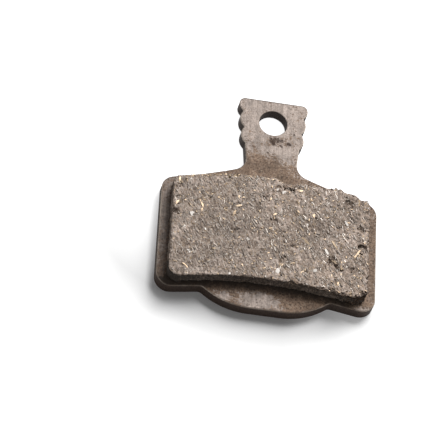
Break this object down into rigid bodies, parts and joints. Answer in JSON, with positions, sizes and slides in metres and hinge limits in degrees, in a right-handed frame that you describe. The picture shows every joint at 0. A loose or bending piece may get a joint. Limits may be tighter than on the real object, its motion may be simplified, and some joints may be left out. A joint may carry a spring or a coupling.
{
  "type": "bicycle disc brake pad",
  "caption": "Flat steel backing plate with a bored, scalloped tab and a bonded friction block; a caliper piston presses it against a brake rotor.",
  "frame": {"origin": "where the caliper piston's axis meets the back face of the plate", "axes": "+Z out of the friction block towards the rotor, +Y up the tab towards the retaining bore, +X to the right seen from the friction side with the tab up"},
  "size_m": [0.0324, 0.0361, 0.0039],
  "materials": {
    "plate_steel": "satin",
    "friction_compound": "matte"
  },
  "bodies": {
    "root": {"backing_plate": "plate_steel", "friction_block": "friction_compound"}
  },
  "joints": []
}
